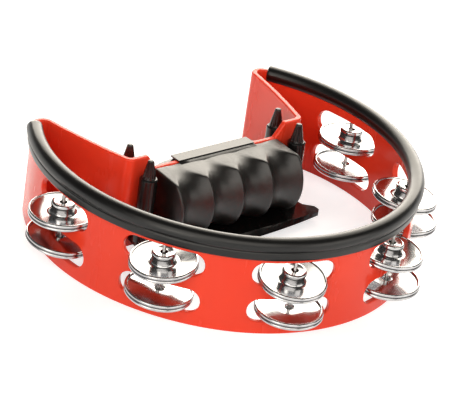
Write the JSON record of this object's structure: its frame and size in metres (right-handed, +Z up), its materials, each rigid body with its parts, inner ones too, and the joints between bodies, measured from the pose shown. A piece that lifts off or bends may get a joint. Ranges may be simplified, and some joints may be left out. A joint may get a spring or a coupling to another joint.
{
  "type": "tambourine",
  "caption": "Hand-held half-moon tambourine: a slotted crescent shell with jingle pairs on pins, a soft rim bead and a grooved rubber hand grip across its open side.",
  "frame": {"origin": "middle of the bounding box, at the shell's foot", "axes": "+Z up from the shell's foot, +Y out of the open recess behind the grip, X across the grip"},
  "size_m": [0.3003, 0.2381, 0.0706],
  "materials": {
    "shell": "glossy moulded ABS, orange-red",
    "bead": "smooth semi-gloss black rubber",
    "grip": "finely textured black rubber",
    "fittings": "moulded black plastic",
    "pins": "bright zinc-plated steel",
    "jingle": "bright nickel-plated steel"
  },
  "bodies": {
    "frame": {"finger_pad": "grip", "frame_shell": "shell", "grip_base": "fittings", "grip_screws": "pins", "palm_bracket": "fittings", "palm_pad": "grip", "peg_back_left": "fittings", "peg_back_right": "fittings", "peg_front_left": "fittings", "peg_front_right": "fittings", "pin_left_back": "pins", "pin_left_front": "pins", "pin_left_side": "pins", "pin_right_back": "pins", "pin_right_front": "pins", "pin_right_side": "pins", "rim_bead": "bead"},
    "jingle_left_back_lower_cup": {"jingle_left_back_lower_cup": "jingle"},
    "jingle_left_back_lower_tray": {"jingle_left_back_lower_tray": "jingle"},
    "jingle_left_back_upper_cup": {"jingle_left_back_upper_cup": "jingle"},
    "jingle_left_back_upper_tray": {"jingle_left_back_upper_tray": "jingle"},
    "jingle_left_front_lower_cup": {"jingle_left_front_lower_cup": "jingle"},
    "jingle_left_front_lower_tray": {"jingle_left_front_lower_tray": "jingle"},
    "jingle_left_front_upper_cup": {"jingle_left_front_upper_cup": "jingle"},
    "jingle_left_front_upper_tray": {"jingle_left_front_upper_tray": "jingle"},
    "jingle_left_side_lower_cup": {"jingle_left_side_lower_cup": "jingle"},
    "jingle_left_side_lower_tray": {"jingle_left_side_lower_tray": "jingle"},
    "jingle_left_side_upper_cup": {"jingle_left_side_upper_cup": "jingle"},
    "jingle_left_side_upper_tray": {"jingle_left_side_upper_tray": "jingle"},
    "jingle_right_back_lower_cup": {"jingle_right_back_lower_cup": "jingle"},
    "jingle_right_back_lower_tray": {"jingle_right_back_lower_tray": "jingle"},
    "jingle_right_back_upper_cup": {"jingle_right_back_upper_cup": "jingle"},
    "jingle_right_back_upper_tray": {"jingle_right_back_upper_tray": "jingle"},
    "jingle_right_front_lower_cup": {"jingle_right_front_lower_cup": "jingle"},
    "jingle_right_front_lower_tray": {"jingle_right_front_lower_tray": "jingle"},
    "jingle_right_front_upper_cup": {"jingle_right_front_upper_cup": "jingle"},
    "jingle_right_front_upper_tray": {"jingle_right_front_upper_tray": "jingle"},
    "jingle_right_side_lower_cup": {"jingle_right_side_lower_cup": "jingle"},
    "jingle_right_side_lower_tray": {"jingle_right_side_lower_tray": "jingle"},
    "jingle_right_side_upper_cup": {"jingle_right_side_upper_cup": "jingle"},
    "jingle_right_side_upper_tray": {"jingle_right_side_upper_tray": "jingle"}
  },
  "joints": [
    {"name": "jingle_left_front_upper_tray_slide", "type": "slide", "parent": "frame", "child": "jingle_left_front_upper_tray", "axis": [0, 0, 1], "range_m": [0, 0.0021]},
    {"name": "jingle_left_front_upper_cup_slide", "type": "slide", "parent": "jingle_left_front_upper_tray", "child": "jingle_left_front_upper_cup", "axis": [0, 0, 1], "range_m": [0, 0.0021]},
    {"name": "jingle_left_front_lower_cup_slide", "type": "slide", "parent": "frame", "child": "jingle_left_front_lower_cup", "axis": [0, 0, 1], "range_m": [0, 0.0024]},
    {"name": "jingle_left_front_lower_tray_slide", "type": "slide", "parent": "jingle_left_front_lower_cup", "child": "jingle_left_front_lower_tray", "axis": [0, 0, 1], "range_m": [0, 0.0024]},
    {"name": "jingle_left_side_upper_tray_slide", "type": "slide", "parent": "frame", "child": "jingle_left_side_upper_tray", "axis": [0, 0, 1], "range_m": [0, 0.0017]},
    {"name": "jingle_left_side_upper_cup_slide", "type": "slide", "parent": "jingle_left_side_upper_tray", "child": "jingle_left_side_upper_cup", "axis": [0, 0, 1], "range_m": [0, 0.0017]},
    {"name": "jingle_left_side_lower_cup_slide", "type": "slide", "parent": "frame", "child": "jingle_left_side_lower_cup", "axis": [0, 0, 1], "range_m": [-0.0014, 0.0006]},
    {"name": "jingle_left_side_lower_tray_slide", "type": "slide", "parent": "jingle_left_side_lower_cup", "child": "jingle_left_side_lower_tray", "axis": [0, 0, 1], "range_m": [0, 0.0006]},
    {"name": "jingle_left_back_upper_tray_slide", "type": "slide", "parent": "frame", "child": "jingle_left_back_upper_tray", "axis": [0, 0, 1], "range_m": [0, 0.0021]},
    {"name": "jingle_left_back_upper_cup_slide", "type": "slide", "parent": "jingle_left_back_upper_tray", "child": "jingle_left_back_upper_cup", "axis": [0, 0, 1], "range_m": [0, 0.0021]},
    {"name": "jingle_left_back_lower_cup_slide", "type": "slide", "parent": "frame", "child": "jingle_left_back_lower_cup", "axis": [0, 0, 1], "range_m": [-0.0018, 0.0001]},
    {"name": "jingle_left_back_lower_tray_slide", "type": "slide", "parent": "jingle_left_back_lower_cup", "child": "jingle_left_back_lower_tray", "axis": [0, 0, 1], "range_m": [0, 0.0001]},
    {"name": "jingle_right_front_upper_tray_slide", "type": "slide", "parent": "frame", "child": "jingle_right_front_upper_tray", "axis": [0, 0, 1], "range_m": [0, 0.002]},
    {"name": "jingle_right_front_upper_cup_slide", "type": "slide", "parent": "jingle_right_front_upper_tray", "child": "jingle_right_front_upper_cup", "axis": [0, 0, 1], "range_m": [0, 0.002]},
    {"name": "jingle_right_front_lower_cup_slide", "type": "slide", "parent": "frame", "child": "jingle_right_front_lower_cup", "axis": [0, 0, 1], "range_m": [0, 0.0021]},
    {"name": "jingle_right_front_lower_tray_slide", "type": "slide", "parent": "jingle_right_front_lower_cup", "child": "jingle_right_front_lower_tray", "axis": [0, 0, 1], "range_m": [0, 0.0021]},
    {"name": "jingle_right_side_upper_tray_slide", "type": "slide", "parent": "frame", "child": "jingle_right_side_upper_tray", "axis": [0, 0, 1], "range_m": [0, 0.0022]},
    {"name": "jingle_right_side_upper_cup_slide", "type": "slide", "parent": "jingle_right_side_upper_tray", "child": "jingle_right_side_upper_cup", "axis": [0, 0, 1], "range_m": [0, 0.0022]},
    {"name": "jingle_right_side_lower_cup_slide", "type": "slide", "parent": "frame", "child": "jingle_right_side_lower_cup", "axis": [0, 0, 1], "range_m": [-0.0025, 0.0012]},
    {"name": "jingle_right_side_lower_tray_slide", "type": "slide", "parent": "jingle_right_side_lower_cup", "child": "jingle_right_side_lower_tray", "axis": [0, 0, 1], "range_m": [0, 0.0012]},
    {"name": "jingle_right_back_upper_tray_slide", "type": "slide", "parent": "frame", "child": "jingle_right_back_upper_tray", "axis": [0, 0, 1], "range_m": [-0.0005, 0.0022]},
    {"name": "jingle_right_back_upper_cup_slide", "type": "slide", "parent": "jingle_right_back_upper_tray", "child": "jingle_right_back_upper_cup", "axis": [0, 0, 1], "range_m": [0, 0.0022]},
    {"name": "jingle_right_back_lower_cup_slide", "type": "slide", "parent": "frame", "child": "jingle_right_back_lower_cup", "axis": [0, 0, 1], "range_m": [0, 0.0024]},
    {"name": "jingle_right_back_lower_tray_slide", "type": "slide", "parent": "jingle_right_back_lower_cup", "child": "jingle_right_back_lower_tray", "axis": [0, 0, 1], "range_m": [0, 0.0024]}
  ]
}
